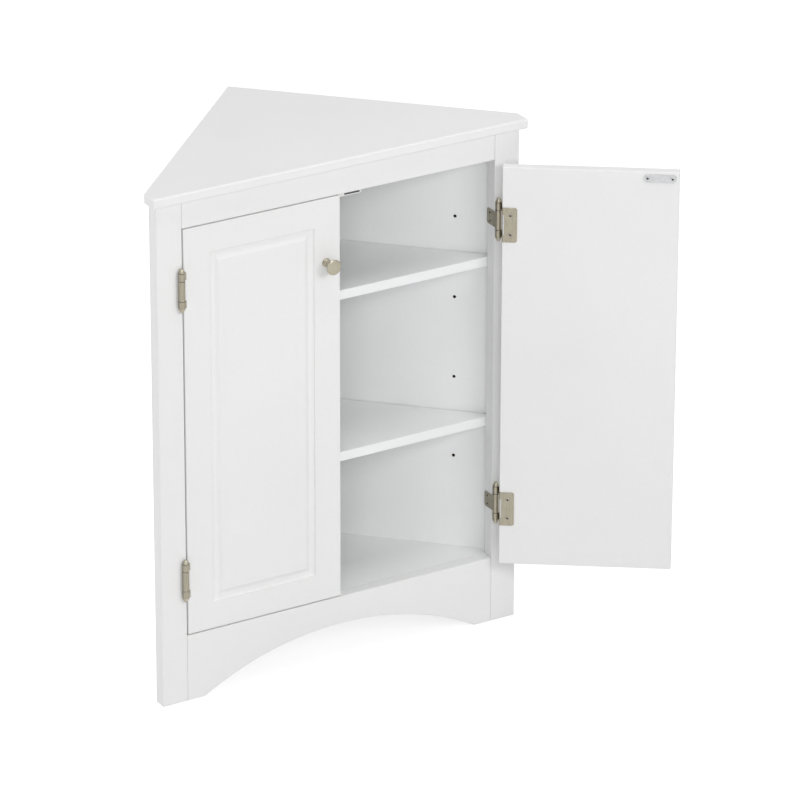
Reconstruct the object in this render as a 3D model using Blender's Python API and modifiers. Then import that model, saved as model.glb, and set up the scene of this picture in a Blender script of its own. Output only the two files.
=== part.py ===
"""Triangular corner cabinet with two inset doors, in metres, +Z up.

The origin is on the floor under the cabinet's rear corner, and the doors face -Y. Two side boards run
forward from that corner at 45 degrees to a face frame. The left door is shut, and the right door stands
open on its two partial-wrap hinges. All lengths below are measured in a frame at the middle of the face
frame's front, at floor level, which hangs from the origin. Side is -1 for what lies left of the middle,
seen from the front, and 1 for what lies right.
"""

from math import atan2, cos, pi, radians, sin, sqrt

import bmesh
import bpy
from mathutils import Matrix, Vector

# Fits
SEAT = 0.0003
DOOR_GAP = 0.0018

# Case
HEIGHT = 0.800
FRAME_WIDTH = 0.600
FRAME_THICKNESS = 0.019
STILE_WIDTH = 0.041
RAIL_HEIGHT = 0.042
APRON_HEIGHT = 0.105
ARCH_FOOT = 0.028
ARCH_CROWN = 0.044
BOARD_THICKNESS = 0.015
BOTTOM_THICKNESS = 0.015
PAINTED_EDGE = 0.0008

# Top
TOP_THICKNESS = 0.015
TOP_SIDE_OVERHANG = 0.009
TOP_FRONT_OVERHANG = 0.010
TOP_CLIP = 0.028
TOP_EDGE_RADIUS = 0.0022

# Shelves, which stand on pins in drilled holes
SHELF_THICKNESS = 0.015
SHELF_SETBACK = 0.0015
SHELF_EDGE_RADIUS = 0.001
UPPER_PEG_HEIGHT = 0.5735
LOWER_PEG_HEIGHT = 0.3175
PEG_HOLE_PITCH = 0.064
PEG_HOLE_RADIUS = 0.0025
PEG_HOLE_FLOOR = 0.005
PEG_COLUMN_INSET = 0.066
PEG_CLEARANCE = 0.0003
PEG_END_GAP = 0.002
PIN_WIDTH = 0.010
PIN_SHEET = 0.001
PIN_DROP = 0.0055
PIN_RISE = 0.004
PIN_LEDGE = 0.009

# Doors
DOOR_THICKNESS = 0.015
DOOR_EDGE_RADIUS = 0.0012
GROOVE_MARGIN = 0.0505
GROOVE_DEPTH = 0.004
COVE_WIDTH = 0.006
GROOVE_FLOOR = 0.002
OGEE_WIDTH = 0.008
RIGHT_DOOR_OPEN = radians(144.65)

# Hinges: a small leaf on the stile, and a leaf that wraps round the door's edge
HINGE_INSET = 0.090
HINGE_HEIGHT = 0.054
MIDDLE_KNUCKLE = 0.030
KNUCKLE_RADIUS = 0.0051
KNUCKLE_GAP = 0.0009
LEAF_SHEET = 0.0009
LEAF_CLEARANCE = 0.0010
LEAF_BEND_RADIUS = 0.0006
LEAF_CORNER = 0.0035
FRAME_LEAF_HEIGHT = 0.024
FRAME_SCREW_SPACING = 0.0132
FRAME_SCREW_BACK = 0.0105
WRAP_WIDTH = 0.022
WRAP_NOTCH = 0.0030
WRAP_SCREW_SPACING = 0.030
WRAP_SCREW_IN = 0.0122
SCREW_HOLE_RADIUS = 0.0016
SCREW_SINK_RADIUS = 0.0030
HINGE_PIN_RADIUS = 0.0023
HINGE_PIN_CLEARANCE = 0.0003
FINIAL_RADIUS = 0.0048
FINIAL_BEAD = 0.0018
FINIAL_DOME = 0.0052
FINIAL_DOME_RADIUS = 0.0035

# Knobs
KNOB_FROM_EDGE = 0.0232
KNOB_FROM_TOP = 0.0988
KNOB_PROJECTION = 0.025
KNOB_HEAD_RADIUS = 0.01175
KNOB_RIM_RADIUS = 0.0016
KNOB_CROWN = 0.0012
KNOB_NECK_RADIUS = 0.0042
KNOB_WAIST = 0.0095
KNOB_FOOT_RADIUS = 0.0068
KNOB_FOOT_THICKNESS = 0.0020
KNOB_COLLAR_RADIUS = 0.0055
KNOB_COLLAR_TOP = 0.0038
KNOB_STUD_RADIUS = 0.0019
KNOB_STUD_COVER = 0.006

# Magnetic catch and the strike plates on the doors
STRIKE_LENGTH = 0.048
STRIKE_WIDTH = 0.012
STRIKE_SHEET = 0.0012
STRIKE_FROM_EDGE = 0.028
STRIKE_FROM_TOP = 0.0102
STRIKE_SCREW_SPACING = 0.036
MAGNET_WIDTH = 0.025
MAGNET_HEIGHT = 0.0022
MAGNET_BELOW_RAIL = 0.0096
MAGNET_DEPTH = 0.010
MAGNET_PROUD = 0.0004
CATCH_WALL = 0.0017
CATCH_END = 0.003
CATCH_BACK = 0.006
CATCH_FLANGE = 0.003
CATCH_FLANGE_RISE = 0.016
CATCH_SLOT_SPACING = 0.050
CATCH_SLOT_RADIUS = 0.0018
CATCH_SLOT_LENGTH = 0.0076
CATCH_EDGE_RADIUS = 0.0006

# What follows from the sizes above
FRAME_TOP = HEIGHT - TOP_THICKNESS - SEAT
CASE_FRONT = FRAME_THICKNESS + SEAT
HALF_FRAME = FRAME_WIDTH / 2
HALF_OPENING = HALF_FRAME - STILE_WIDTH
RAIL_BOTTOM = FRAME_TOP - RAIL_HEIGHT
REAR = CASE_FRONT + HALF_FRAME
BOARD_STEP = BOARD_THICKNESS / sqrt(2)
INSIDE_HALF = HALF_FRAME - 2 * BOARD_STEP
INSIDE_LEG = INSIDE_HALF * sqrt(2)
LEAF_SEAT = SEAT + LEAF_SHEET
HINGE_GAP = LEAF_SEAT + LEAF_CLEARANCE
PIVOT_X = HALF_OPENING - LEAF_SEAT + KNUCKLE_RADIUS
PIVOT_Y = -(KNUCKLE_RADIUS + SEAT)
DOOR_WIDTH = HALF_OPENING - HINGE_GAP - DOOR_GAP / 2
DOOR_BOTTOM = APRON_HEIGHT + DOOR_GAP
DOOR_TOP = RAIL_BOTTOM - DOOR_GAP
DOOR_EDGE = PIVOT_X - HALF_OPENING + HINGE_GAP
DOOR_FACE = -PIVOT_Y
DOOR_BACK = DOOR_FACE + DOOR_THICKNESS
KNOB_HEIGHT = DOOR_TOP - KNOB_FROM_TOP
KNOB_STUD_LENGTH = DOOR_THICKNESS - KNOB_STUD_COVER
STRIKE_HEIGHT = DOOR_TOP - STRIKE_FROM_TOP
MAGNET_X = DOOR_GAP / 2 + STRIKE_FROM_EDGE
MAGNET_MIDDLE = RAIL_BOTTOM - MAGNET_BELOW_RAIL
MAGNET_FACE = DOOR_THICKNESS + SEAT + STRIKE_SHEET + SEAT
BORE_RADIUS = HINGE_PIN_RADIUS + HINGE_PIN_CLEARANCE
PEG_HOLE_DEPTH = BOARD_THICKNESS - PEG_HOLE_FLOOR

SIDES = {"left": -1, "right": 1}
HINGES = {"upper": DOOR_TOP - HINGE_INSET, "lower": DOOR_BOTTOM + HINGE_INSET}
SHELVES = {"upper": UPPER_PEG_HEIGHT, "lower": LOWER_PEG_HEIGHT}
PEG_COLUMNS = {"front": PEG_COLUMN_INSET, "rear": INSIDE_LEG - PEG_COLUMN_INSET}

PARTS = "corner_cabinet"
CUTTERS = "cutters"
FRONT = "front_middle"

FROM_PLAN_TO_FRONT = Matrix.Rotation(pi / 2, 4, "X")
FROM_PLAN_TO_SIDE = Matrix(((0, 0, 1, 0), (1, 0, 0, 0), (0, 1, 0, 0), (0, 0, 0, 1)))


# Objects and materials


def empty_scene():
    for thing in list(bpy.data.objects):
        bpy.data.objects.remove(thing, do_unlink=True)
    for name in (PARTS, CUTTERS):
        group = bpy.data.collections.get(name) or bpy.data.collections.new(name)
        if name not in bpy.context.scene.collection.children:
            bpy.context.scene.collection.children.link(group)


def empty(name, parent, location, turn=0.0):
    axis = bpy.data.objects.new(name, None)
    axis.parent = parent
    axis.location = location
    axis.rotation_euler = (0, 0, turn)
    axis.empty_display_size = 0.05
    bpy.data.collections[PARTS].objects.link(axis)
    return axis


def front_frame():
    """The frame that the sizes are measured in. The origin lies midway through the rear corner joint."""
    return empty(FRONT, None, (0, BOARD_STEP - REAR, 0))


def material(name, colour, roughness, metallic=0.0):
    made = bpy.data.materials.get(name) or bpy.data.materials.new(name)
    made.use_nodes = True
    shader = made.node_tree.nodes["Principled BSDF"]
    shader.inputs["Base Color"].default_value = (*colour, 1.0)
    shader.inputs["Roughness"].default_value = roughness
    shader.inputs["Metallic"].default_value = metallic
    return made


def white_paint():
    return material("white_satin_paint", (0.83, 0.83, 0.82), 0.42)


def board_laminate():
    return material("white_board_laminate", (0.81, 0.81, 0.80), 0.50)


def nickel():
    return material("brushed_nickel", (0.46, 0.43, 0.38), 0.32, 1.0)


def zinc_plating():
    return material("zinc_plated_steel", (0.62, 0.62, 0.62), 0.35, 1.0)


def catch_plastic():
    return material("white_catch_plastic", (0.80, 0.80, 0.79), 0.45)


def ferrite():
    return material("dark_magnet", (0.05, 0.05, 0.052), 0.55)


def part(name, mesh, look, parent=None):
    """An object named for one piece, in the front frame or on a door's axis."""
    mesh.name = name
    mesh.materials.clear()
    mesh.materials.append(look)
    thing = bpy.data.objects.new(name, mesh)
    thing.parent = parent or bpy.data.objects[FRONT]
    bpy.data.collections[PARTS].objects.link(thing)
    return thing


# Shapes


def mesh_from(build):
    """A mesh that build(bm) fills."""
    bm = bmesh.new()
    build(bm)
    mesh = bpy.data.meshes.new("shape")
    bm.to_mesh(mesh)
    bm.free()
    return mesh


def box_mesh(corner, opposite):
    """A box between two opposite corners, given in any order."""
    low = Vector([min(pair) for pair in zip(corner, opposite)])
    high = Vector([max(pair) for pair in zip(corner, opposite)])
    place = Matrix.Translation((low + high) / 2) @ Matrix.Diagonal((*(high - low), 1.0))
    return mesh_from(lambda bm: bmesh.ops.create_cube(bm, size=1.0, matrix=place))


def rod_mesh(radius, start, end, sides=20, end_radius=None):
    """A round rod from start to end, or a cone where it ends in another radius."""
    start, end = Vector(start), Vector(end)
    turn = Vector((0, 0, 1)).rotation_difference(end - start).to_matrix().to_4x4()
    place = Matrix.Translation((start + end) / 2) @ turn

    def build(bm):
        bmesh.ops.create_cone(
            bm,
            cap_ends=True,
            segments=sides,
            radius1=radius,
            radius2=end_radius or radius,
            depth=(end - start).length,
            matrix=place,
        )

    return mesh_from(build)


def together(meshes):
    """One mesh that holds several, for cutters that don't meet."""

    def build(bm):
        for mesh in meshes:
            bm.from_mesh(mesh)

    return mesh_from(build)


def outline_curve(outline, extrude):
    """A closed 2D curve through the outline's points, in plan."""
    curve = bpy.data.curves.new("outline", "CURVE")
    curve.dimensions = "2D"
    curve.fill_mode = "BOTH"
    curve.extrude = extrude
    line = curve.splines.new("POLY")
    line.points.add(len(outline) - 1)
    for point, (x, y) in zip(line.points, outline):
        point.co = (x, y, 0.0, 1.0)
    line.use_cyclic_u = True
    thing = bpy.data.objects.new("outline", curve)
    bpy.data.collections[CUTTERS].objects.link(thing)
    bpy.context.view_layer.update()
    return thing


def welded(curve_object):
    """The curve's shape as a closed mesh. The curve itself is removed."""
    graph = bpy.context.evaluated_depsgraph_get()
    mesh = bpy.data.meshes.new_from_object(curve_object.evaluated_get(graph))
    mesh.transform(curve_object.matrix_world)
    bpy.data.objects.remove(curve_object, do_unlink=True)
    bm = bmesh.new()
    bm.from_mesh(mesh)
    bmesh.ops.remove_doubles(bm, verts=bm.verts, dist=0.00001)
    bm.to_mesh(mesh)
    bm.free()
    return mesh


def plan_plate(outline, low, high):
    """An outline drawn in plan, filled from height low to height high."""
    mesh = welded(outline_curve(outline, (high - low) / 2))
    mesh.transform(Matrix.Translation((0, 0, (low + high) / 2)))
    return mesh


def front_plate(outline, front, back):
    """An outline drawn as seen from the front, X by Z, filled from Y = front to Y = back."""
    mesh = plan_plate(outline, -back, -front)
    mesh.transform(FROM_PLAN_TO_FRONT)
    return mesh


def side_plate(outline, left, right):
    """An outline drawn as seen from the side, Y by Z, filled from X = left to X = right."""
    mesh = plan_plate(outline, left, right)
    mesh.transform(FROM_PLAN_TO_SIDE)
    return mesh


def arc(centre, radius, start, end, steps, rise=None):
    """Points on an arc with both of its ends, or on an ellipse's arc where rise is given."""
    turn = (end - start) / steps
    rise = rise or radius
    angles = [start + turn * i for i in range(steps + 1)]
    return [(centre[0] + radius * cos(a), centre[1] + rise * sin(a)) for a in angles]


def flare(rim, waist, steps):
    """A trumpet curve that leaves the rim level and reaches the waist upright."""
    (rim_radius, rim_z), (waist_radius, waist_z) = rim, waist
    points = []
    for i in range(steps + 1):
        turn = pi / 2 * i / steps
        radius = rim_radius + (waist_radius - rim_radius) * sin(turn)
        points.append((radius, rim_z + (waist_z - rim_z) * (1 - cos(turn))))
    return points


def round_ended(left, right, low, high, radius, steps=5):
    """A rectangle whose two right-hand corners are round."""
    lower = arc((right - radius, low + radius), radius, -pi / 2, 0, steps)
    upper = arc((right - radius, high - radius), radius, 0, pi / 2, steps)
    return [*lower, *upper, (left, high), (left, low)]


def stadium(length, radius, steps=10):
    """A strip along X with fully round ends."""
    reach = length / 2 - radius
    right = arc((reach, 0), radius, -pi / 2, pi / 2, steps)
    left = arc((-reach, 0), radius, pi / 2, 3 * pi / 2, steps)
    return [*right, *left]


def folded_sheet(first, corner, last, sheet, inner_radius, steps=5):
    """Outline of a sheet folded square. Its outer face runs first, corner, last, and turns left."""
    first, corner, last = Vector(first), Vector(corner), Vector(last)
    along = (corner - first).normalized()
    onward = (last - corner).normalized()
    centre = corner + (onward - along) * (inner_radius + sheet)
    start = atan2(-onward.y, -onward.x)
    end = start + pi / 2
    outer = arc(centre, inner_radius + sheet, start, end, steps)
    inner = arc(centre, inner_radius, end, start, steps)
    near = first + Vector((-along.y, along.x)) * sheet
    far = last + Vector((-onward.y, onward.x)) * sheet
    return [tuple(first), *outer, tuple(last), tuple(far), *inner, tuple(near)]


def turned(name, profile, look, steps, parent=None):
    """A turned piece about its Z. The profile runs from the top of the axis down its outer side."""

    def build(bm):
        points = [bm.verts.new((radius, 0.0, z)) for radius, z in profile]
        for upper, lower in zip(points, points[1:]):
            bm.edges.new((upper, lower))

    thing = part(name, mesh_from(build), look, parent)
    screw = thing.modifiers.new("turn", "SCREW")
    screw.axis = "Z"
    screw.steps = steps
    screw.render_steps = steps
    screw.use_merge_vertices = True
    screw.merge_threshold = 0.00001
    return thing


def ease_edges(thing, radius, segments=2):
    """Round the piece's sharp edges."""
    bevel = thing.modifiers.new("eased edges", "BEVEL")
    bevel.width = radius
    bevel.segments = segments
    bevel.limit_method = "ANGLE"
    bevel.angle_limit = radians(30)


def shape_by(thing, mesh, operation, name):
    """Join, cut or trim the piece by a closed shape in the piece's own frame."""
    tool = bpy.data.objects.new(f"{thing.name}_{name}", mesh)
    bpy.data.collections[CUTTERS].objects.link(tool)
    tool.parent = thing
    tool.hide_render = True
    tool.display_type = "WIRE"
    step = thing.modifiers.new(name, "BOOLEAN")
    step.operation = operation
    step.solver = "EXACT"
    step.object = tool


def cut(thing, mesh, name):
    shape_by(thing, mesh, "DIFFERENCE", name)


def fuse(thing, mesh, name):
    shape_by(thing, mesh, "UNION", name)


def for_side(mesh, side):
    """A mesh drawn for the right side, or its mirror image for the left."""
    if side < 0:
        mesh.transform(Matrix.Diagonal((-1, 1, 1, 1)))
        mesh.flip_normals()
    return mesh


def smooth(thing):
    thing.data.shade_smooth()
    thing.data.set_sharp_from_angle(angle=radians(35))


def sink_screws(thing, points, inward, sheet):
    """Cut a countersunk hole at each point of a sheet's face, along the inward direction."""
    inward = Vector(inward)
    slope = SCREW_SINK_RADIUS - SCREW_HOLE_RADIUS
    depth = min(slope, sheet * 0.9)
    for i, point in enumerate(points):
        point = Vector(point)
        hole = rod_mesh(SCREW_HOLE_RADIUS, point - inward * sheet, point + inward * sheet * 2, 16)
        mouth, throat = point - inward * slope, point + inward * depth
        cone = rod_mesh(SCREW_SINK_RADIUS + slope, mouth, throat, 16, SCREW_SINK_RADIUS - depth)
        cut(thing, hole, f"screw_hole_{i + 1}")
        cut(thing, cone, f"screw_sink_{i + 1}")


# Case


def top_panel():
    """Five-sided top. Its two ends are cut off square to the front."""
    half = HALF_FRAME + TOP_SIDE_OVERHANG
    front = -TOP_FRONT_OVERHANG
    shoulder = front + TOP_CLIP
    outline = [(-half, front), (half, front), (half, shoulder), (0, shoulder + half), (-half, shoulder)]
    top = part("top_panel", plan_plate(outline, HEIGHT - TOP_THICKNESS, HEIGHT), white_paint())
    ease_edges(top, TOP_EDGE_RADIUS, 3)


def board_outline(side):
    """Plan of a side board. The left board laps the end of the right one at the rear corner."""
    if side < 0:
        lap = [(0, REAR), (BOARD_STEP, REAR - BOARD_STEP)]
    else:
        gap = SEAT / sqrt(2)
        joint = BOARD_STEP + gap
        lap = [(joint, REAR - joint), (gap, REAR - 2 * BOARD_STEP - gap)]
    return [(side * HALF_FRAME, CASE_FRONT), *lap, (side * INSIDE_HALF, CASE_FRONT)]


def on_board(side, column, height):
    """A place on a side board's inner face, and the turn that points its +Y into the cabinet."""
    rearward = Vector((-side, 1, 0)).normalized()
    point = Vector((side * INSIDE_HALF, CASE_FRONT, height)) + rearward * PEG_COLUMNS[column]
    return point, side * radians(135)


def peg_holes(side):
    """Three rows of holes about each shelf's own height, in two columns."""
    holes = []
    for column in PEG_COLUMNS:
        for shelf_height in SHELVES.values():
            for row in (-1, 0, 1):
                point, turn = on_board(side, column, shelf_height + row * PEG_HOLE_PITCH)
                hole = rod_mesh(PEG_HOLE_RADIUS, (0, -PEG_HOLE_DEPTH, 0), (0, PEG_HOLE_DEPTH, 0), 12)
                hole.transform(Matrix.Translation(point) @ Matrix.Rotation(turn, 4, "Z"))
                holes.append(hole)
    return together(holes)


def side_board(word, side):
    board = part(f"{word}_side_panel", plan_plate(board_outline(side), 0, FRAME_TOP), board_laminate())
    cut(board, peg_holes(side), "peg_holes")


def inside_outline(front, clearance):
    """Plan of a panel between the side boards, with the clearance to each of them."""
    slack = clearance * sqrt(2)
    half = INSIDE_HALF - (front - CASE_FRONT) - slack
    return [(-half, front), (half, front), (0, front + half)]


def bottom_panel():
    """Floor of the case, level with the top of the apron."""
    low = APRON_HEIGHT - BOTTOM_THICKNESS
    outline = inside_outline(CASE_FRONT, SEAT)
    part("bottom_panel", plan_plate(outline, low, APRON_HEIGHT), board_laminate())


def shelf(word, peg_height):
    """Loose shelf on four pins. It clears the pins' upright plates beside its ends."""
    outline = inside_outline(FRAME_THICKNESS + SHELF_SETBACK, PIN_SHEET + 2 * SEAT)
    low = peg_height - PIN_DROP + SEAT
    board = part(f"{word}_shelf", plan_plate(outline, low, low + SHELF_THICKNESS), board_laminate())
    ease_edges(board, SHELF_EDGE_RADIUS)


def stile(word, side):
    post = box_mesh((side * HALF_OPENING, 0, 0), (side * HALF_FRAME, FRAME_THICKNESS, FRAME_TOP))
    ease_edges(part(f"{word}_stile", post, white_paint()), PAINTED_EDGE)


def top_rail():
    half = HALF_OPENING - SEAT
    rail = box_mesh((-half, 0, RAIL_BOTTOM), (half, FRAME_THICKNESS, FRAME_TOP))
    ease_edges(part("top_rail", rail, white_paint()), PAINTED_EDGE)


def arched_apron():
    """Board under the doors, cut away below in one shallow arc that leaves two feet."""
    half = HALF_OPENING - SEAT
    half_span = HALF_OPENING - ARCH_FOOT
    rise = APRON_HEIGHT - ARCH_CROWN
    radius = (half_span**2 + rise**2) / (2 * rise)
    reach = atan2(half_span, radius - rise)
    arch = arc((0, rise - radius), radius, pi / 2 + reach, pi / 2 - reach, 32)
    outline = [(-half, 0), *arch, (half, 0), (half, APRON_HEIGHT), (-half, APRON_HEIGHT)]
    apron = part("arched_apron", front_plate(outline, 0, FRAME_THICKNESS), white_paint())
    ease_edges(apron, PAINTED_EDGE)


def shelf_pin(name, side, column, height):
    """Steel pin: a peg in the board, an upright plate against it, and a ledge under the shelf."""
    low = -PIN_DROP - PIN_SHEET
    ledge_end = SEAT + PIN_LEDGE
    outline = folded_sheet((SEAT, PIN_RISE), (SEAT, low), (ledge_end, low), PIN_SHEET, PIN_SHEET / 2)
    pin = part(name, side_plate(outline, -PIN_WIDTH / 2, PIN_WIDTH / 2), zinc_plating())
    peg_end = PEG_END_GAP - PEG_HOLE_DEPTH
    peg_root = SEAT + PIN_SHEET / 2
    peg = rod_mesh(PEG_HOLE_RADIUS - PEG_CLEARANCE, (0, peg_end, 0), (0, peg_root, 0), 12)
    fuse(pin, peg, "peg")
    point, turn = on_board(side, column, height)
    pin.location = point
    pin.rotation_euler = (0, 0, turn)


def shelf_pins():
    for level, height in SHELVES.items():
        for word, side in SIDES.items():
            for column in PEG_COLUMNS:
                shelf_pin(f"{level}_shelf_pin_{word}_{column}", side, column, height)


# Doors, drawn shut in the frame of their hinge axis


def door_x(side, distance):
    """X of a place at a distance from the door's hinge edge."""
    return -side * (DOOR_EDGE + distance)


def groove_section():
    """Section of the routed groove, as distance outward from its middle and depth: a cove and an ogee."""
    foot = (COVE_WIDTH + GROOVE_FLOOR + OGEE_WIDTH) / 2 - COVE_WIDTH
    cove = arc((foot, 0), COVE_WIDTH, 0, pi / 2, 3, rise=GROOVE_DEPTH)
    ogee = []
    for i in range(5):
        rise = GROOVE_DEPTH * (1 + cos(pi * i / 4)) / 2
        ogee.append((foot - GROOVE_FLOOR - OGEE_WIDTH * i / 4, rise))
    return [(cove[0][0], -GROOVE_DEPTH), *cove, *ogee, (ogee[-1][0], -GROOVE_DEPTH)]


def groove_cutter(side):
    """Path of a profiled router: a rectangle, mitred at its corners."""
    middle_x, middle_z = door_x(side, DOOR_WIDTH / 2), (DOOR_BOTTOM + DOOR_TOP) / 2
    half_x = DOOR_WIDTH / 2 - GROOVE_MARGIN
    half_z = (DOOR_TOP - DOOR_BOTTOM) / 2 - GROOVE_MARGIN

    def build(bm):
        loops = []
        for outward, depth in groove_section():
            x, z = half_x + outward, half_z + outward
            corners = [(-x, -z), (x, -z), (x, z), (-x, z)]
            loops.append([bm.verts.new((middle_x + a, DOOR_FACE + depth, middle_z + b)) for a, b in corners])
        for i, loop in enumerate(loops):
            before = loops[i - 1]
            for j in range(4):
                bm.faces.new((before[j - 1], before[j], loop[j], loop[j - 1]))
        bmesh.ops.recalc_face_normals(bm, faces=bm.faces)

    return mesh_from(build)


def leaf_recesses(side):
    """Shallow housings across the door's hinge edge, one for each wrap leaf."""
    half = HINGE_HEIGHT / 2 + SEAT
    outside, inside = door_x(side, -LEAF_SEAT), door_x(side, LEAF_SEAT)
    front, back = DOOR_FACE - LEAF_SEAT, DOOR_BACK + LEAF_SEAT
    boxes = [box_mesh((outside, front, z - half), (inside, back, z + half)) for z in HINGES.values()]
    return together(boxes)


def door_panel(word, side, axis):
    """Inset door with a routed rectangle on its face."""
    hinge_edge, free_edge = door_x(side, 0), door_x(side, DOOR_WIDTH)
    board = box_mesh((hinge_edge, DOOR_FACE, DOOR_BOTTOM), (free_edge, DOOR_BACK, DOOR_TOP))
    door = part(f"{word}_door_panel", board, white_paint(), axis)
    ease_edges(door, DOOR_EDGE_RADIUS)
    cut(door, groove_cutter(side), "groove")
    cut(door, leaf_recesses(side), "leaf_recesses")
    knob_x = door_x(side, DOOR_WIDTH - KNOB_FROM_EDGE)
    mouth = (knob_x, DOOR_FACE - SEAT, KNOB_HEIGHT)
    floor = (knob_x, DOOR_FACE + KNOB_STUD_LENGTH + SEAT, KNOB_HEIGHT)
    cut(door, rod_mesh(KNOB_STUD_RADIUS + SEAT, mouth, floor, 16), "knob_bore")


def knob_profile():
    """Crowned head with a round rim, trumpet neck, stepped foot, and the stud that enters the door."""
    rim_x = KNOB_HEAD_RADIUS - KNOB_RIM_RADIUS
    rim_z = KNOB_PROJECTION - KNOB_CROWN - KNOB_RIM_RADIUS
    crown_radius = (rim_x**2 + KNOB_CROWN**2) / (2 * KNOB_CROWN)
    reach = atan2(rim_x, crown_radius - KNOB_CROWN)
    crown = arc((0, KNOB_PROJECTION - crown_radius), crown_radius, pi / 2, pi / 2 - reach, 2)
    rim = arc((rim_x, rim_z), KNOB_RIM_RADIUS, pi / 2 - reach, -pi / 2, 5)
    waist = (KNOB_NECK_RADIUS, KNOB_WAIST)
    head_flare = flare((rim_x, rim_z - KNOB_RIM_RADIUS), waist, 4)
    foot_half = KNOB_FOOT_THICKNESS / 2
    foot_x = KNOB_FOOT_RADIUS - foot_half
    foot_flare = flare((KNOB_COLLAR_RADIUS, KNOB_COLLAR_TOP), waist, 3)
    step = [(KNOB_COLLAR_RADIUS, KNOB_FOOT_THICKNESS)]
    foot = arc((foot_x, foot_half), foot_half, pi / 2, 0, 2)
    base = [(KNOB_FOOT_RADIUS, SEAT), (KNOB_STUD_RADIUS, SEAT)]
    stud = [(KNOB_STUD_RADIUS, -KNOB_STUD_LENGTH), (0.0, -KNOB_STUD_LENGTH)]
    return [*crown, *rim[1:], *head_flare[1:], *foot_flare[-2::-1], *step, *foot, *base, *stud]


def knob(word, side, axis):
    made = turned(f"{word}_knob", knob_profile(), nickel(), 24, axis)
    made.location = (door_x(side, DOOR_WIDTH - KNOB_FROM_EDGE), DOOR_FACE, KNOB_HEIGHT)
    made.rotation_euler = (pi / 2, 0, 0)
    smooth(made)


def strike_plate(word, side, axis):
    """Round-ended steel plate on the door's back, which the magnet holds."""
    outline = stadium(STRIKE_LENGTH, STRIKE_WIDTH / 2)
    plate = part(f"{word}_strike_plate", plan_plate(outline, 0, STRIKE_SHEET), zinc_plating(), axis)
    plate.location = (door_x(side, DOOR_WIDTH - STRIKE_FROM_EDGE), DOOR_BACK + SEAT, STRIKE_HEIGHT)
    plate.rotation_euler = (-pi / 2, 0, 0)
    screws = [(x, 0, STRIKE_SHEET) for x in (-STRIKE_SCREW_SPACING / 2, STRIKE_SCREW_SPACING / 2)]
    sink_screws(plate, screws, (0, 0, -1), STRIKE_SHEET)


# Hinges, drawn about their pivot


def pin_bore(height):
    half = HINGE_HEIGHT / 2 + SEAT
    return rod_mesh(BORE_RADIUS, (0, 0, height - half), (0, 0, height + half))


def frame_leaf(name, side, height):
    """Small leaf on the inner edge of the stile, with the middle knuckle."""
    half = FRAME_LEAF_HEIGHT / 2
    face = -KNUCKLE_RADIUS
    outline = round_ended(0, DOOR_FACE + FRAME_THICKNESS, height - half, height + half, LEAF_CORNER)
    leaf = part(name, for_side(side_plate(outline, face, face + LEAF_SHEET), side), nickel())
    low, high = height - MIDDLE_KNUCKLE / 2, height + MIDDLE_KNUCKLE / 2
    fuse(leaf, rod_mesh(KNUCKLE_RADIUS, (0, 0, low), (0, 0, high)), "knuckle")
    cut(leaf, pin_bore(height), "pin_bore")
    rows = (height - FRAME_SCREW_SPACING / 2, height + FRAME_SCREW_SPACING / 2)
    screws = [(side * face, DOOR_FACE + FRAME_SCREW_BACK, z) for z in rows]
    sink_screws(leaf, screws, (side, 0, 0), LEAF_SHEET)
    leaf.location = (side * PIVOT_X, PIVOT_Y, 0)
    smooth(leaf)


def wrap_leaf(name, side, height, axis):
    """Leaf that lies round the door's edge and on its back, with the two outer knuckles. Between them it is
    cut away round the fold, to clear the middle knuckle."""
    low, high = height - HINGE_HEIGHT / 2, height + HINGE_HEIGHT / 2
    back = DOOR_BACK + LEAF_SEAT
    far = DOOR_EDGE + WRAP_WIDTH
    corner = (-DOOR_EDGE, back)
    fold = folded_sheet((-DOOR_EDGE, -LEAF_SHEET), corner, (-far, back), LEAF_SHEET, LEAF_BEND_RADIUS)
    leaf = part(name, for_side(plan_plate(fold, low, high), side), nickel(), axis)
    corners = [(-x, z) for x, z in round_ended(0, far, low, high, LEAF_CORNER)]
    trim = front_plate(corners[::-1], -KNUCKLE_RADIUS, back + LEAF_SHEET)
    shape_by(leaf, for_side(trim, side), "INTERSECT", "round_corners")
    web_end = -(BORE_RADIUS + KNUCKLE_RADIUS) / 2
    knuckle = (HINGE_HEIGHT - MIDDLE_KNUCKLE) / 2 - KNUCKLE_GAP
    for word, foot in (("lower", low), ("upper", high - knuckle)):
        top = foot + knuckle
        web = box_mesh((-DOOR_EDGE - LEAF_SHEET, -LEAF_SHEET, foot), (web_end, LEAF_SHEET, top))
        fuse(leaf, for_side(web, side), f"{word}_web")
        fuse(leaf, rod_mesh(KNUCKLE_RADIUS, (0, 0, foot), (0, 0, top)), f"{word}_knuckle")
    half = MIDDLE_KNUCKLE / 2 + KNUCKLE_GAP
    mouth = (SEAT - DOOR_EDGE + LEAF_SHEET, -LEAF_SHEET - SEAT, height - half)
    notch = box_mesh(mouth, (-DOOR_EDGE - WRAP_NOTCH, back + LEAF_SHEET + SEAT, height + half))
    cut(leaf, for_side(notch, side), "knuckle_notch")
    cut(leaf, pin_bore(height), "pin_bore")
    rows = (height - WRAP_SCREW_SPACING / 2, height + WRAP_SCREW_SPACING / 2)
    screws = [(door_x(side, WRAP_SCREW_IN), back, z) for z in rows]
    sink_screws(leaf, screws, (0, -1, 0), LEAF_SHEET)
    smooth(leaf)


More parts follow.
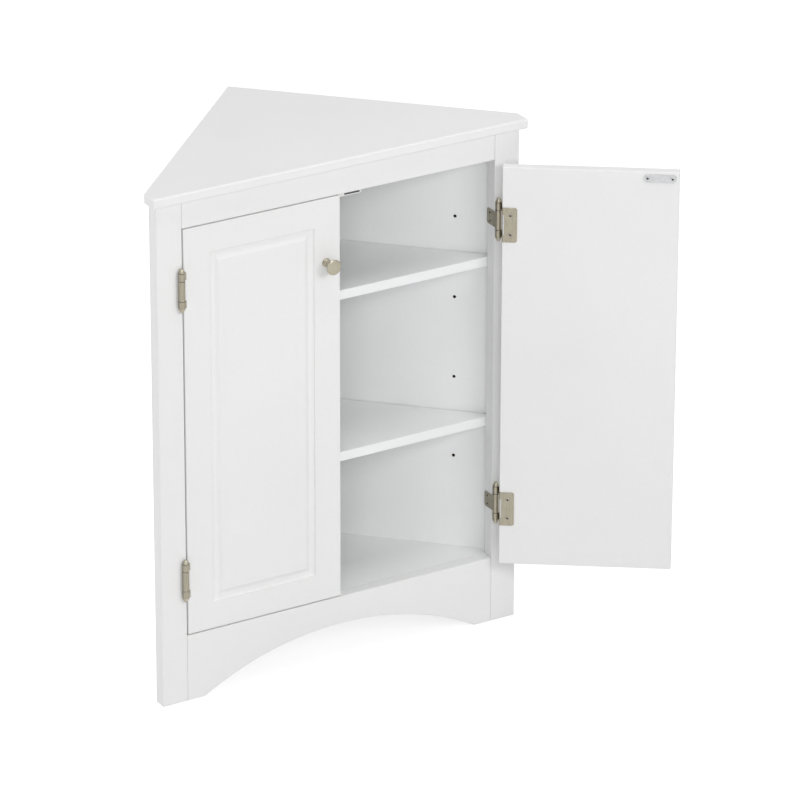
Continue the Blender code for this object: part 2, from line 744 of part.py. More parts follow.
def finial_profile(foot):
    """Upper tip of a hinge pin, from its point down: a dome on a round bead."""
    bead_half = FINIAL_BEAD / 2
    bead_top = foot + FINIAL_BEAD
    dome = arc((0, bead_top), FINIAL_DOME_RADIUS, pi / 2, 0, 5, rise=FINIAL_DOME)
    bead = arc((FINIAL_RADIUS - bead_half, foot + bead_half), bead_half, pi / 3, -pi / 2, 4)
    return [*dome, *bead]


def hinge_pin(name, side, height):
    """Pin through the three knuckles, with a bullet finial at each end."""
    end = HINGE_HEIGHT / 2 + SEAT
    tip = finial_profile(end)
    tail = [(radius, -z) for radius, z in reversed(tip)]
    shank = [(HINGE_PIN_RADIUS, end), (HINGE_PIN_RADIUS, -end)]
    pin = turned(name, [*tip, *shank, *tail], nickel(), 18)
    pin.location = (side * PIVOT_X, PIVOT_Y, height)
    smooth(pin)


def hinges(word, side, axis):
    for level, height in HINGES.items():
        stem = f"{word}_{level}_hinge"
        frame_leaf(f"{stem}_frame_leaf", side, height)
        wrap_leaf(f"{stem}_wrap_leaf", side, height, axis)
        hinge_pin(f"{stem}_pin", side, height)


# Magnetic catch


def catch_housing():
    """Moulded housing for both magnets, with a flange that is screwed to the back of the top rail."""
    front = MAGNET_FACE + MAGNET_PROUD
    back = front + MAGNET_DEPTH + CATCH_BACK
    pocket_half = MAGNET_HEIGHT / 2 + SEAT
    low = MAGNET_MIDDLE - pocket_half - CATCH_WALL
    top = MAGNET_MIDDLE + pocket_half + CATCH_WALL
    flange_top = RAIL_BOTTOM + CATCH_FLANGE_RISE
    flange_back = CASE_FRONT + CATCH_FLANGE
    nose = [(front, low), (back, low), (back, top)]
    flange = [(flange_back, top), (flange_back, flange_top), (CASE_FRONT, flange_top), (CASE_FRONT, top)]
    half = MAGNET_X + MAGNET_WIDTH / 2 + CATCH_END
    body = part("catch_housing", side_plate([*nose, *flange, (front, top)], -half, half), catch_plastic())
    ease_edges(body, CATCH_EDGE_RADIUS, 1)
    pockets = []
    slots = []
    slot = [(z, x) for x, z in stadium(CATCH_SLOT_LENGTH, CATCH_SLOT_RADIUS, 6)]
    for side in SIDES.values():
        middle = side * MAGNET_X
        reach = MAGNET_WIDTH / 2 + SEAT
        mouth = (middle - reach, front - SEAT, MAGNET_MIDDLE - pocket_half)
        floor = (middle + reach, MAGNET_FACE + MAGNET_DEPTH + SEAT, MAGNET_MIDDLE + pocket_half)
        pockets.append(box_mesh(mouth, floor))
        cutter = front_plate(slot[::-1], CASE_FRONT - SEAT, flange_back + SEAT)
        slot_height = RAIL_BOTTOM + CATCH_FLANGE_RISE / 2
        cutter.transform(Matrix.Translation((side * CATCH_SLOT_SPACING / 2, 0, slot_height)))
        slots.append(cutter)
    cut(body, together(pockets), "magnet_pockets")
    cut(body, together(slots), "screw_slots")


def catch_magnet(word, side):
    """Magnet in its pocket, standing slightly proud of the housing."""
    middle = side * MAGNET_X
    low, high = MAGNET_MIDDLE - MAGNET_HEIGHT / 2, MAGNET_MIDDLE + MAGNET_HEIGHT / 2
    left, right = middle - MAGNET_WIDTH / 2, middle + MAGNET_WIDTH / 2
    block = box_mesh((left, MAGNET_FACE, low), (right, MAGNET_FACE + MAGNET_DEPTH, high))
    part(f"{word}_catch_magnet", block, ferrite())


def build_case():
    top_panel()
    top_rail()
    arched_apron()
    bottom_panel()
    for word, side in SIDES.items():
        side_board(word, side)
        stile(word, side)
        catch_magnet(word, side)
    for level, height in SHELVES.items():
        shelf(level, height)
    shelf_pins()
    catch_housing()


def build_doors(front):
    for word, side in SIDES.items():
        opening = RIGHT_DOOR_OPEN if side > 0 else 0.0
        axis = empty(f"{word}_door_axis", front, (side * PIVOT_X, PIVOT_Y, 0), side * opening)
        door_panel(word, side, axis)
        knob(word, side, axis)
        strike_plate(word, side, axis)
        hinges(word, side, axis)


empty_scene()
front_middle = front_frame()
build_case()
build_doors(front_middle)
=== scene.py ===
"""Looks of the corner bathroom cabinet: its paint, laminate, plated hardware, screws, light and camera."""

from math import cos, pi, radians, sin, sqrt

import bmesh
import bpy
from mathutils import Matrix, Vector


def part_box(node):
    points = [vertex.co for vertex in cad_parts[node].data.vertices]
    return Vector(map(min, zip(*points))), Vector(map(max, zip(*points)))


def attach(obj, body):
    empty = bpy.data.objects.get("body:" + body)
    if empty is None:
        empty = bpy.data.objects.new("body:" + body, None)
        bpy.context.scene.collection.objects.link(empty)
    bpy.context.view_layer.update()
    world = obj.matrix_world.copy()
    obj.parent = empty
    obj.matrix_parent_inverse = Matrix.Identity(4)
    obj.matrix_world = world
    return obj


MM = 0.001

# Camera, as the photograph was taken
PICTURE_WIDTH = 800
FOCAL_PIXELS = 5832.3
SENSOR = 36.0
CAMERA_AZIMUTH = radians(30.938)
CAMERA_DIP = radians(24.0)
CAMERA_ROLL = radians(-0.14)
CAMERA_PLACE = (-3.8953, -6.9738, 3.8582)

# How far the right door stands open
RIGHT_DOOR_OPEN = radians(144.65)
SIDES = {"left": -1, "right": 1}
LEVELS = ("upper", "lower")

# Screws: where they sit on their plates
FRAME_SCREW_SPACING = 13.2 * MM
FRAME_SCREW_FROM_REAR = 8.5 * MM
WRAP_SCREW_SPACING = 30 * MM
WRAP_SCREW_FROM_END = 9.8 * MM
STRIKE_SCREW_SPACING = 36 * MM
CATCH_SCREW_SPACING = 50 * MM
CATCH_SCREW_ABOVE_RAIL = 8 * MM
CATCH_FLANGE_BACK = 3.3 * MM
HINGE_SCREW_RADIUS = 2.6 * MM
STRIKE_SCREW_RADIUS = 2.55 * MM
CATCH_SCREW_RADIUS = 3.2 * MM
SCREW_SHANK_END = 9.0 * MM
SCREW_POINT = 11.5 * MM
SCREW_SIDES = 32

# Cross recess of a screw: half a blade's width, and how far its foot reaches past that, so that the plus
# sign never crosses itself
BLADE_HALF_WIDTH = 0.70 * MM
BLADE_FOOT_REACH = 0.05 * MM
PUNCH_ABOVE_HEAD = 1.0 * MM

# Boards
BOARD_THICKNESS = 15 * MM

# Light
AMBIENT = 0.39
# Each softbox: the way to it from the cabinet, how far off it stands, its side and its power in watts
SOFTBOXES = {
    "key_softbox": ((0.20, -1.0, 0.55), 4.2, 1.1, 39.0),
    "fill_softbox": ((-0.50, -1.0, 0.40), 4.2, 2.0, 40.0),
    "overhead_softbox": ((0.0, -0.15, 1.0), 3.0, 1.4, 23.0),
    "left_rear_softbox": ((-1.0, 0.7, 0.25), 3.0, 1.4, 27.0),
    "right_rear_softbox": ((1.0, 0.7, 0.25), 3.0, 1.4, 8.0),
}
LAMPS_LOOK_AT = Vector((0, -0.2, 0.4))
FLOOR_DROP = 0.5 * MM
FLOOR_REACH = 14.0
FLOOR_GLOW = 0.78

PAINTED = (
    "top_panel",
    "top_rail",
    "arched_apron",
    "left_stile",
    "right_stile",
    "left_door_panel",
    "right_door_panel",
)
LAMINATED = ("bottom_panel", "upper_shelf", "lower_shelf")


# Materials


def colour(code):
    """The linear colour of an sRGB hex value."""
    parts = [int(code[i : i + 2], 16) / 255 for i in (0, 2, 4)]
    linear = [p / 12.92 if p <= 0.04045 else ((p + 0.055) / 1.055) ** 2.4 for p in parts]
    return (*linear, 1.0)


def add(tree, kind, inputs=(), **settings):
    """A node with its settings. An input is a plain value, or another node's output to link."""
    made = tree.nodes.new(kind)
    for name, value in settings.items():
        setattr(made, name, value)
    for socket, value in dict(inputs).items():
        if isinstance(value, bpy.types.NodeSocket):
            tree.links.new(value, made.inputs[socket])
        else:
            made.inputs[socket].default_value = value
    return made


def blank_finish(name, **constants):
    """A material with one shader, whose constant sockets are set, and each point's place on the piece."""
    made = bpy.data.materials.new(name)
    made.use_nodes = True
    tree = made.node_tree
    tree.nodes.clear()
    shader = add(tree, "ShaderNodeBsdfPrincipled")
    for socket, value in constants.items():
        shader.inputs[socket.replace("_", " ")].default_value = value
    add(tree, "ShaderNodeOutputMaterial", {"Surface": shader.outputs["BSDF"]})
    return made, tree, shader, add(tree, "ShaderNodeTexCoord").outputs["Object"]


def coat(tree, shader, base, rough, normal):
    """Link what a finish varies over the surface."""
    tree.links.new(base, shader.inputs["Base Color"])
    tree.links.new(rough, shader.inputs["Roughness"])
    tree.links.new(normal, shader.inputs["Normal"])


def grain(tree, place, size, detail=3.0, drawn_out=(1.0, 1.0, 1.0)):
    """Noise whose grain is about size metres across, and drawn_out times longer along each axis."""
    scale = [1.0 / (size * s) for s in drawn_out]
    sized = add(tree, "ShaderNodeMapping", {"Vector": place, "Scale": scale}).outputs["Vector"]
    noise = add(tree, "ShaderNodeTexNoise", {"Vector": sized, "Scale": 1.0, "Detail": detail})
    return noise.outputs["Fac"]


def spread(tree, value, low, high, start=0.3, end=0.7):
    """A pattern's values from start to end, turned into numbers from low to high."""
    limits = {"From Min": start, "From Max": end, "To Min": low, "To Max": high}
    return add(tree, "ShaderNodeMapRange", {"Value": value, **limits}).outputs["Result"]


def between(tree, factor, first, second):
    """The first colour where the factor is 0, and the second where it is 1."""
    mixed = add(tree, "ShaderNodeMix", {0: factor, 6: first, 7: second}, data_type="RGBA")
    return mixed.outputs[2]


def product(tree, first, second):
    return add(tree, "ShaderNodeMath", {0: first, 1: second}, operation="MULTIPLY").outputs[0]


def eased(tree, radius):
    """Normal of a surface whose sharp edges are rounded by radius."""
    return add(tree, "ShaderNodeBevel", {"Radius": radius}, samples=6).outputs["Normal"]


def rubbed_edge(tree, place, width, patch):
    """Up to 1 along the piece's edges, in patches, where hands and cloths rub it, and 0 on its flats."""
    flat = add(tree, "ShaderNodeNewGeometry").outputs["Normal"]
    match = add(tree, "ShaderNodeVectorMath", {0: eased(tree, width), 1: flat}, operation="DOT_PRODUCT")
    edge = spread(tree, match.outputs["Value"], 1.0, 0.0, 0.90, 0.995)
    return product(tree, edge, spread(tree, grain(tree, place, patch), 0.1, 0.9))


def relief(tree, height, depth, normal):
    """Normal of a surface with a pattern that is depth metres deep."""
    made = add(tree, "ShaderNodeBump", {"Height": height, "Distance": depth, "Normal": normal})
    return made.outputs["Normal"]


def sprayed_satin_paint():
    """White satin lacquer sprayed on fibreboard: an even, neutral white with a soft broad sheen, a faint
    orange peel from the spray gun, and a thinner, warmer coat along the edges."""
    made, tree, shader, place = blank_finish("sprayed_satin_paint", IOR=1.5, Specular_IOR_Level=0.4)
    drift = spread(tree, grain(tree, place, 260 * MM, 2.0), 0, 1)
    tone = between(tree, drift, colour("ECECEC"), colour("EFEFEF"))
    tone = between(tree, spread(tree, grain(tree, place, 5 * MM), 0, 0.25), tone, colour("E8E8E7"))
    tone = between(tree, rubbed_edge(tree, place, 1.1 * MM, 24 * MM), tone, colour("E6E4E0"))
    rough = spread(tree, grain(tree, place, 38 * MM), 0.40, 0.50)
    # The real peel is about 1 mm from crest to crest. It is drawn at 2.6 mm so that it shows.
    peel = grain(tree, place, 2.6 * MM, 1.5)
    coat(tree, shader, tone, rough, relief(tree, peel, 0.004 * MM, eased(tree, 0.5 * MM)))
    return made


def drilled_part(tree, place, word, side):
    """1 on the walls and floors of a side board's pin holes, and 0 on the faces and ends of the board."""
    low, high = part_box(f"{word}_side_panel")
    outward = Vector((side, 1, 0)).normalized()
    outer_face = outward.dot(Vector((side * max(abs(low.x), abs(high.x)), low.y, 0)))
    skin = 0.2 * MM
    middle = outer_face - BOARD_THICKNESS / 2
    reach = add(tree, "ShaderNodeVectorMath", {0: place, 1: outward}, operation="DOT_PRODUCT")
    across = reach.outputs["Value"]
    part = add(tree, "ShaderNodeSeparateXYZ", {0: place}).outputs
    from_ends = 30 * MM
    ranges = (
        (across, middle - BOARD_THICKNESS / 2 + skin, middle + BOARD_THICKNESS / 2 - skin),
        (part["Y"], low.y + from_ends, high.y - from_ends),
        (part["Z"], low.z + from_ends, high.z - from_ends),
    )
    tests = []
    for value, start, end in ranges:
        limits = {0: value, 1: (start + end) / 2, 2: (end - start) / 2}
        tests.append(add(tree, "ShaderNodeMath", limits, operation="COMPARE").outputs[0])
    return product(tree, product(tree, tests[0], tests[1]), tests[2])


def melamine_laminate(word=None, side=0):
    """White melamine paper pressed on chipboard: a little cooler and flatter than the paint, with the fine
    pearl texture of the press plate. The drilled holes of a side board show the brown board, painted far darker
    than bare chipboard as painted shade inside the holes."""
    name = f"melamine_laminate_{word}" if word else "melamine_laminate"
    made, tree, shader, place = blank_finish(name, IOR=1.5, Specular_IOR_Level=0.38)
    drift = spread(tree, grain(tree, place, 180 * MM, 2.0), 0, 1)
    tone = between(tree, drift, colour("F0F1F1"), colour("F4F5F5"))
    tone = between(tree, spread(tree, grain(tree, place, 3.5 * MM, 4.0), 0, 0.3), tone, colour("EBEDED"))
    tone = between(tree, rubbed_edge(tree, place, 0.8 * MM, 16 * MM), tone, colour("E4E2DE"))
    if word:
        # Painted shade: the bare board's brown is darkened to near-black, standing in for the shade inside the
        # pin holes.
        chips = spread(tree, grain(tree, place, 1.8 * MM, 4.0), 0, 1)
        board_in_hole_shade = between(tree, chips, colour("2E241A"), colour("5C4A36"))
        tone = between(tree, drilled_part(tree, place, word, side), tone, board_in_hole_shade)
    rough = spread(tree, grain(tree, place, 30 * MM), 0.46, 0.56)
    # The press plate's pearls are 0.5 mm apart. They are drawn at 1.4 mm so that they show.
    pearl = grain(tree, place, 1.4 * MM, 1.0)
    coat(tree, shader, tone, rough, relief(tree, pearl, 0.006 * MM, eased(tree, 0.35 * MM)))
    return made


def nickel_plate(name, place_of, drawn_out, tones=("9D9887", "BDB8A8"), worn=0.5 * MM):
    """Satin nickel plate on steel that was brushed before plating: a warm grey metal with fine streaks that
    widen its highlights, a few duller clouds, and brighter rubbed edges."""
    made, tree, shader, place = blank_finish(name, Metallic=1.0)
    # The brush marks are 0.1 mm apart on the real plate. They are drawn at 0.4 mm so that they show.
    marks = grain(tree, place_of(tree, place), 0.4 * MM, 2.0, drawn_out)
    tone = between(tree, spread(tree, marks, 0, 1), colour(tones[0]), colour(tones[1]))
    clouds = spread(tree, grain(tree, place, 9 * MM), 0, 0.45)
    tone = between(tree, clouds, tone, colour("A89F8B"))
    tone = between(tree, rubbed_edge(tree, place, worn, 5 * MM), tone, colour("D6D2C6"))
    rough = spread(tree, marks, 0.24, 0.38)
    coat(tree, shader, tone, rough, relief(tree, marks, 0.010 * MM, eased(tree, 0.25 * MM)))
    return made


def as_it_lies(_, place):
    return place


def rings_about(axis_point, turn):
    """Coordinates that are alike all round a knob's axis, as the marks of turning on a lathe are."""

    def rings(tree, place):
        placing = {"Vector": place, "Location": axis_point, "Rotation": (0, 0, turn)}
        own = add(tree, "ShaderNodeMapping", placing, vector_type="TEXTURE").outputs["Vector"]
        flat = add(tree, "ShaderNodeVectorMath", {0: own, 1: (1, 0, 1)}, operation="MULTIPLY").outputs[0]
        radius = add(tree, "ShaderNodeVectorMath", {0: flat}, operation="LENGTH").outputs["Value"]
        depth = add(tree, "ShaderNodeSeparateXYZ", {0: own}).outputs["Y"]
        return add(tree, "ShaderNodeCombineXYZ", {"X": radius, "Y": depth}).outputs["Vector"]

    return rings


def bright_zinc():
    """Electroplated zinc on pressed steel: pale, slightly blue and mottled, with a soft metallic glare."""
    made, tree, shader, place = blank_finish("bright_zinc", Metallic=1.0)
    mottle = grain(tree, place, 4 * MM, 4.0)
    tone = between(tree, spread(tree, mottle, 0, 1), colour("B6B7B8"), colour("C8C9CA"))
    tone = between(tree, rubbed_edge(tree, place, 0.4 * MM, 6 * MM), tone, colour("DCDDDE"))
    rolled = grain(tree, place, 0.8 * MM, 2.0, (12.0, 12.0, 1.0))
    rough = spread(tree, mottle, 0.28, 0.44)
    coat(tree, shader, tone, rough, relief(tree, rolled, 0.008 * MM, eased(tree, 0.2 * MM)))
    return made


def moulded_white_plastic():
    """Injection-moulded white plastic: matt from the spark-eroded mould, with a slightly polished edge."""
    made, tree, shader, place = blank_finish("moulded_white_plastic", IOR=1.53)
    tone = between(tree, spread(tree, grain(tree, place, 20 * MM), 0, 1), colour("E8E8E4"), colour("EDEDEA"))
    tone = between(tree, rubbed_edge(tree, place, 0.5 * MM, 8 * MM), tone, colour("F1F1EE"))
    spark = grain(tree, place, 0.7 * MM, 2.0)
    rough = spread(tree, spark, 0.38, 0.52)
    coat(tree, shader, tone, rough, relief(tree, spark, 0.02 * MM, eased(tree, 0.3 * MM)))
    return made


def sintered_ferrite():
    """Bare ceramic magnet, sawn from a sintered block: charcoal, dull and granular, with chipped edges."""
    made, tree, shader, place = blank_finish("sintered_ferrite", IOR=1.8)
    grains = grain(tree, place, 0.6 * MM, 4.0)
    tone = between(tree, spread(tree, grains, 0, 1), colour("252527"), colour("3A3A3C"))
    tone = between(tree, rubbed_edge(tree, place, 0.5 * MM, 2 * MM), tone, colour("5A5A5C"))
    rough = spread(tree, grains, 0.48, 0.68)
    coat(tree, shader, tone, rough, relief(tree, grains, 0.03 * MM, eased(tree, 0.3 * MM)))
    return made


def shadowed_recess():
    """Driver's recess of a screw: near-black steel, painted shade standing in for the shade deep inside the
    cross.
    """
    made, tree, shader, place = blank_finish("shadowed_recess", Metallic=1.0)
    # Painted shade: the near-black tones stand in for the shade inside the recess, and this noise only mottles
    # them.
    recess_shade_mottle = grain(tree, place, 0.5 * MM, 3.0)
    tone = between(tree, spread(tree, recess_shade_mottle, 0, 1), colour("151412"), colour("2E2C28"))
    rough = spread(tree, recess_shade_mottle, 0.35, 0.6)
    coat(tree, shader, tone, rough, relief(tree, recess_shade_mottle, 0.01 * MM, eased(tree, 0.1 * MM)))
    return made


# Rounded CAD pieces


def even_shading():
    """A modifier's steps that close up a faceted piece and shade its curved faces as curved."""
    group = bpy.data.node_groups.new("even_shading", "GeometryNodeTree")
    for direction in ("INPUT", "OUTPUT"):
        group.interface.new_socket("Geometry", in_out=direction, socket_type="NodeSocketGeometry")
    start = group.nodes.new("NodeGroupInput").outputs[0]
    plain = add(group, "GeometryNodeRemoveAttribute", {"Geometry": start, "Name": "custom_normal"})
    closed = add(group, "GeometryNodeMergeByDistance", {"Geometry": plain.outputs[0], "Distance": 0.001 * MM})
    faces = add(group, "GeometryNodeSetShadeSmooth", {"Geometry": closed.outputs[0], "Shade Smooth": True})
    angle = add(group, "GeometryNodeInputMeshEdgeAngle").outputs["Unsigned Angle"]
    sharp = add(group, "FunctionNodeCompare", {0: angle, 1: radians(32)}, operation="GREATER_THAN")
    edges = add(
        group,
        "GeometryNodeSetShadeSmooth",
        {"Geometry": faces.outputs[0], "Selection": sharp.outputs[0], "Shade Smooth": False},
        domain="EDGE",
    )
    end = group.nodes.new("NodeGroupOutput")
    group.links.new(edges.outputs[0], end.inputs[0])
    return group


def give(names, finish, shading=None):
    """Put a finish on CAD pieces, and even shading on the curved ones."""
    for name in names:
        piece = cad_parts[name]
        piece.material_slots[0].link = "OBJECT"
        piece.material_slots[0].material = finish
        if shading:
            piece.modifiers.new("even shading", "NODES").node_group = shading


# Screws


def screw_mesh(name, head, recess, profile, arm, depth):
    """A cross-head screw on +Z with its seat at Z = 0: a turned profile, with a cross punched in its head.
    A Boolean can return nothing without an error, so an empty screw stops the script."""
    bm = bmesh.new()
    rings = []
    for radius, z in profile:
        if radius == 0:
            rings.append([bm.verts.new((0, 0, z))])
            continue
        turns = [2 * pi * i / SCREW_SIDES for i in range(SCREW_SIDES)]
        rings.append([bm.verts.new((radius * cos(a), radius * sin(a), z)) for a in turns])
    for upper, lower in zip(rings, rings[1:]):
        for i in range(SCREW_SIDES):
            j = (i + 1) % SCREW_SIDES
            if len(upper) == 1:
                bm.faces.new((upper[0], lower[i], lower[j]))
            elif len(lower) == 1:
                bm.faces.new((upper[i], lower[0], upper[j]))
            else:
                bm.faces.new((upper[i], lower[i], lower[j], upper[j]))
    for face in bm.faces:
        face.smooth = True
    blank = bpy.data.meshes.new(name)
    bm.to_mesh(blank)
    bm.free()
    blank.materials.append(head)
    body = bpy.data.objects.new(name, blank)
    bpy.context.scene.collection.objects.link(body)
    punch = cross_punch(recess, arm, depth, profile[0][1])
    step = body.modifiers.new("cross recess", "BOOLEAN")
    step.operation = "DIFFERENCE"
    step.solver = "EXACT"
    step.material_mode = "TRANSFER"
    step.object = punch
    bpy.context.view_layer.update()
    graph = bpy.context.evaluated_depsgraph_get()
    made = bpy.data.meshes.new_from_object(body.evaluated_get(graph))
    if not made.polygons:
        raise RuntimeError(f"{name}: the cross recess left nothing of the screw")
    made.set_sharp_from_angle(angle=radians(40))
    for used in (body, punch):
        bpy.data.objects.remove(used, do_unlink=True)
    return made


def cross_outline(reach, blade, z):
    """A plus sign at one height, once round: arms that reach out from the axis, two blade halves wide."""
    arm = ((reach, -blade), (reach, blade), (blade, blade))
    turns = [Matrix.Rotation(i * pi / 2, 3, "Z") for i in range(4)]
    return [turn @ Vector((x, y, z)) for turn in turns for x, y in arm]


def cross_punch(recess, arm, depth, top):
    """Tapering plus-shaped solid, as on the tip of a cross-head driver."""
    foot = BLADE_HALF_WIDTH + BLADE_FOOT_REACH
    bm = bmesh.new()
    upper = [bm.verts.new(p) for p in cross_outline(arm * 1.5, BLADE_HALF_WIDTH, top + PUNCH_ABOVE_HEAD)]
    lower = [bm.verts.new(p) for p in cross_outline(foot, BLADE_HALF_WIDTH, top - depth)]
    bm.faces.new(upper)
    bm.faces.new(lower[::-1])
    for i in range(len(upper)):
        j = (i + 1) % len(upper)
        bm.faces.new((upper[j], upper[i], lower[i], lower[j]))
    bmesh.ops.recalc_face_normals(bm, faces=bm.faces)
    mesh = bpy.data.meshes.new("cross_punch")
    bm.to_mesh(mesh)
    bm.free()
    mesh.materials.append(recess)
    punch = bpy.data.objects.new("cross_punch", mesh)
    bpy.context.scene.collection.objects.link(punch)
    return punch


def dome(radius, rise, steps=6):
    """The crown of a screw head, from its middle out to its rim at Z = 0."""
    ball = (radius**2 + rise**2) / (2 * rise)
    reach = 1.0 / steps
    points = []
    for i in range(steps + 1):
        x = radius * reach * i
        points.append((x, sqrt(ball**2 - x**2) - (ball - rise)))
    return points


def raised_screw(name, head, recess, radius, rise=0.7 * MM):
    """Countersunk screw with a raised head, for the leaves and strike plates."""
    shank = 1.45 * MM
    cone = [(shank, -(radius - shank)), (shank, -SCREW_SHANK_END), (0, -SCREW_POINT)]
    return screw_mesh(name, head, recess, [*dome(radius, rise), *cone], radius * 0.70, 1.7 * MM)


def pan_screw(name, head, recess):
    """Pan-head screw that holds the catch by its slots."""
    radius, side_height, shank = CATCH_SCREW_RADIUS, 1.1 * MM, 1.5 * MM
    crown = [(x, z + side_height) for x, z in dome(radius * 0.94, 0.8 * MM)]
    under = [(radius, side_height * 0.6), (radius, 0), (shank, 0), (shank, -SCREW_SHANK_END), (0, -SCREW_POINT)]
    return screw_mesh(name, head, recess, [*crown, *under], radius * 0.55, 1.5 * MM)


def drive(name, mesh, point, outward, spin, body):
    """Set a screw in at a point on a plate's face, its head facing outward and its cross at some turn."""
    screw = bpy.data.objects.new(name, mesh)
    bpy.context.scene.collection.objects.link(screw)
    face = Vector((0, 0, 1)).rotation_difference(Vector(outward)).to_matrix().to_4x4()
    screw.matrix_world = Matrix.Translation(point) @ face @ Matrix.Rotation(radians(spin), 4, "Z")
    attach(screw, body)


def door_turn(word):
    """Where the door stands in the photograph, as a turn from its shut place."""
    side = SIDES[word]
    low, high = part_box(f"{word}_upper_hinge_pin")
    pivot = (low + high) / 2
    opening = RIGHT_DOOR_OPEN if side > 0 else 0.0
    return Matrix.Translation(pivot) @ Matrix.Rotation(opening, 4, "Z") @ Matrix.Translation(-pivot)


def on_door(word, point, outward):
    """A place and a direction on the shut left door, carried to either door as it stands."""
    side = SIDES[word]
    turn = door_turn(word)
    mirrored = Vector((-side * point[0], point[1], point[2]))
    facing = Vector((-side * outward[0], outward[1], outward[2]))
    return turn @ mirrored, turn.to_3x3() @ facing


def rows(middle, spacing):
    return (("upper", middle + spacing / 2), ("lower", middle - spacing / 2))


def hinge_screws(mesh):
    spins = iter((12, 47, 80, 25, 63, 5, 38, 71, 17, 52, 88, 31, 66, 9, 43, 77))
    for word, side in SIDES.items():
        for level in LEVELS:
            stem = f"{word}_{level}_hinge"
            low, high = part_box(f"{stem}_frame_leaf")
            face = max(low.x, high.x) if side < 0 else min(low.x, high.x)
            for row, z in rows((low.z + high.z) / 2, FRAME_SCREW_SPACING):
                point = (face, high.y - FRAME_SCREW_FROM_REAR, z)
                name = f"{stem}_frame_screw_{row}"
                drive(name, mesh, point, (-side, 0, 0), next(spins), "case")
            low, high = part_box(f"left_{level}_hinge_wrap_leaf")
            for row, z in rows((low.z + high.z) / 2, WRAP_SCREW_SPACING):
                shut = (high.x - WRAP_SCREW_FROM_END, high.y, z)
                point, outward = on_door(word, shut, (0, 1, 0))
                name = f"{stem}_wrap_screw_{row}"
                drive(name, mesh, point, outward, next(spins), f"{word}_door")


def strike_screws(mesh):
    low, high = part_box("left_strike_plate")
    middle = (low + high) / 2
    for word in SIDES:
        for end, sign, spin in (("inner", 1, 20), ("outer", -1, 55)):
            shut = (middle.x + sign * STRIKE_SCREW_SPACING / 2, high.y, middle.z)
            point, outward = on_door(word, shut, (0, 1, 0))
            name = f"{word}_strike_screw_{end}"
            drive(name, mesh, point, outward, spin, f"{word}_door")


def catch_screws(mesh):
    low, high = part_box("top_rail")
    for word, side in SIDES.items():
        across = side * CATCH_SCREW_SPACING / 2
        point = (across, high.y + CATCH_FLANGE_BACK, low.z + CATCH_SCREW_ABOVE_RAIL)
        drive(f"{word}_catch_screw", mesh, point, (0, 1, 0), 30 + side * 22, "case")


# Floor, light and camera


def seen_directly(tree):
    """1 for what the camera sees straight or in a reflection, and 0 for light that the object gathers."""
    path = add(tree, "ShaderNodeLightPath").outputs
    shown = path["Is Camera Ray"]
    for ray in ("Is Glossy Ray", "Is Transmission Ray"):
        shown = add(tree, "ShaderNodeMath", {0: shown, 1: path[ray]}, operation="MAXIMUM").outputs[0]
    return shown


def studio_world():
    """White all round where it is seen, and a soft even light where it is gathered."""
    world = bpy.data.worlds.new("white_studio")
    world.use_nodes = True
    bpy.context.scene.world = world
    tree = world.node_tree
    tree.nodes.clear()
    strength = spread(tree, seen_directly(tree), AMBIENT, 1.0, 0.0, 1.0)
    glow = add(tree, "ShaderNodeBackground", {"Color": (1, 1, 1, 1), "Strength": strength})
    add(tree, "ShaderNodeOutputWorld", {"Surface": glow.outputs["Background"]})


def studio_floor():
    """Pale paper sweep. It is white where it is seen, and keeps a light shadow of the cabinet."""
    made = bpy.data.materials.new("white_paper_sweep")
    made.use_nodes = True
    tree = made.node_tree
    tree.nodes.clear()
    gathered = add(tree, "ShaderNodeBsdfDiffuse", {"Color": colour("E4E4E4")}).outputs[0]
    shaded = add(tree, "ShaderNodeBsdfDiffuse", {"Color": colour("B4B4B4")}).outputs[0]
    glow = add(tree, "ShaderNodeEmission", {"Strength": FLOOR_GLOW}).outputs[0]
    shown = add(tree, "ShaderNodeAddShader", {0: shaded, 1: glow}).outputs[0]
    mixed = add(tree, "ShaderNodeMixShader", {0: seen_directly(tree), 1: gathered, 2: shown}).outputs[0]
    add(tree, "ShaderNodeOutputMaterial", {"Surface": mixed})
    mesh = bpy.data.meshes.new("studio_floor")
    ways = ((-1, -1), (1, -1), (1, 1), (-1, 1))
    mesh.from_pydata([(x * FLOOR_REACH, y * FLOOR_REACH, -FLOOR_DROP) for x, y in ways], [], [(0, 1, 2, 3)])
    mesh.materials.append(made)
    floor = bpy.data.objects.new("studio_floor", mesh)
    bpy.context.scene.collection.objects.link(floor)


def softbox(name, towards, distance, size, power):
    """A square lamp that looks at the middle of the cabinet."""
    lamp = bpy.data.lights.new(name, "AREA")
    lamp.shape = "SQUARE"
    lamp.size = size
    lamp.energy = power
    holder = bpy.data.objects.new(name, lamp)
    bpy.context.scene.collection.objects.link(holder)
    direction = Vector(towards).normalized()
    holder.location = LAMPS_LOOK_AT + direction * distance
    holder.rotation_mode = "QUATERNION"
    holder.rotation_quaternion = direction.to_track_quat("Z", "Y")
    holder.visible_camera = False


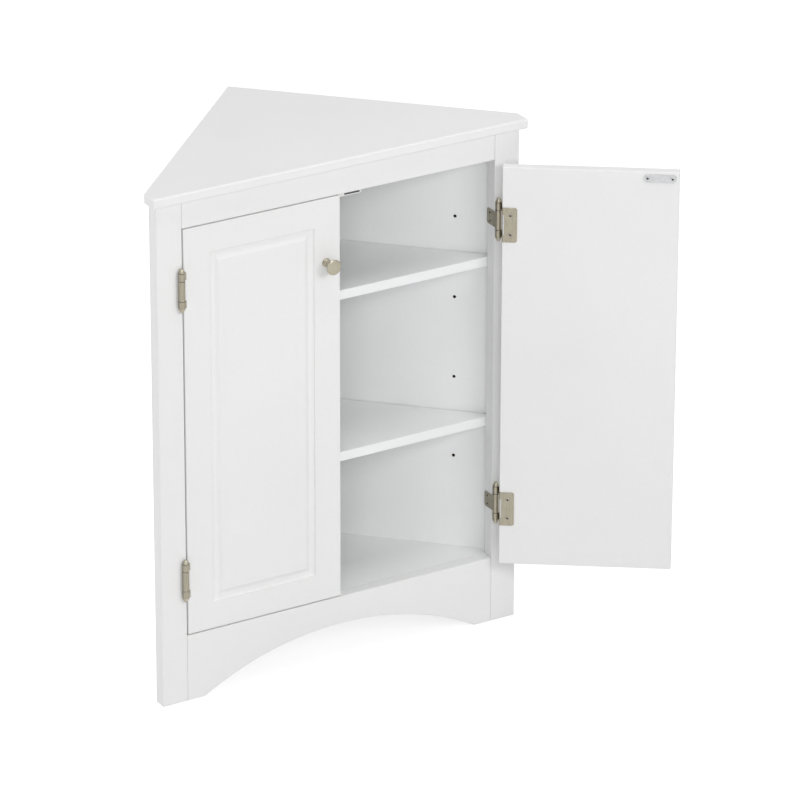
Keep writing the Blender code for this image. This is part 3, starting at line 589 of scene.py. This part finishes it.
def camera():
    """The photograph's camera: a long lens, high on the left, tipped down."""
    data = bpy.data.cameras.new("camera")
    data.sensor_width = SENSOR
    data.lens = FOCAL_PIXELS * SENSOR / PICTURE_WIDTH
    data.clip_end = 100
    forward = Vector(
        (
            sin(CAMERA_AZIMUTH) * cos(CAMERA_DIP),
            cos(CAMERA_AZIMUTH) * cos(CAMERA_DIP),
            -sin(CAMERA_DIP),
        )
    )
    level = Vector((cos(CAMERA_AZIMUTH), -sin(CAMERA_AZIMUTH), 0))
    down = forward.cross(level)
    right = level * cos(CAMERA_ROLL) + down * sin(CAMERA_ROLL)
    up = level * sin(CAMERA_ROLL) - down * cos(CAMERA_ROLL)
    turn = Matrix((right, up, -forward)).transposed().to_4x4()
    holder = bpy.data.objects.new("camera", data)
    bpy.context.scene.collection.objects.link(holder)
    holder.matrix_world = Matrix.Translation(CAMERA_PLACE) @ turn
    bpy.context.scene.camera = holder


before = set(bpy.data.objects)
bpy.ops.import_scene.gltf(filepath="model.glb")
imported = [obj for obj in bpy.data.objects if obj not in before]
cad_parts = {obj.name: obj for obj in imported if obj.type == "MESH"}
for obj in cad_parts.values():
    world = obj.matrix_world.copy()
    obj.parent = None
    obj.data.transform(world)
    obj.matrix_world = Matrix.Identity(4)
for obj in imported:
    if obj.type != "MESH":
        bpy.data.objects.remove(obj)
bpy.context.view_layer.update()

camera()
studio_world()
studio_floor()
for name, (towards, distance, size, power) in SOFTBOXES.items():
    softbox(name, towards, distance, size, power)

shading = even_shading()
names = list(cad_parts)
# Painted shade: the leaves' nickel is a darker copy of the knob's, standing in for the darker light that the
# flat leaves catch.
leaf_nickel = nickel_plate("brushed_nickel_leaf", as_it_lies, (1.0, 1.0, 40.0), ("8B8677", "AAA596"))
pin_nickel = nickel_plate("turned_nickel_pin", as_it_lies, (30.0, 30.0, 1.0))
zinc = bright_zinc()
give(PAINTED, sprayed_satin_paint())
give(LAMINATED, melamine_laminate())
for word, side in SIDES.items():
    give([f"{word}_side_panel"], melamine_laminate(word, side))
    low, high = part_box("left_knob")
    middle, _ = on_door(word, (low + high) / 2, (0, -1, 0))
    rings = rings_about(middle, RIGHT_DOOR_OPEN if side > 0 else 0.0)
    give([f"{word}_knob"], nickel_plate(f"turned_nickel_knob_{word}", rings, (1.0, 1.0, 1.0)), shading)
give([n for n in names if n.endswith("_leaf")], leaf_nickel, shading)
give([n for n in names if n.endswith("_hinge_pin")], pin_nickel, shading)
give([n for n in names if "strike_plate" in n or "shelf_pin" in n], zinc, shading)
give(["catch_housing"], moulded_white_plastic(), shading)
give([n for n in names if n.endswith("magnet")], sintered_ferrite())

recess = shadowed_recess()
screw_tones = ("98938A", "B9B5AB")
screw_nickel = nickel_plate("brushed_nickel_screw", as_it_lies, (1.0, 1.0, 1.0), screw_tones, 0.12 * MM)
hinge_screws(raised_screw("hinge_screw", screw_nickel, recess, HINGE_SCREW_RADIUS))
strike_screws(raised_screw("strike_screw", zinc, recess, STRIKE_SCREW_RADIUS))
catch_screws(pan_screw("catch_screw", zinc, recess))

bpy.context.scene.view_settings.view_transform = "Standard"
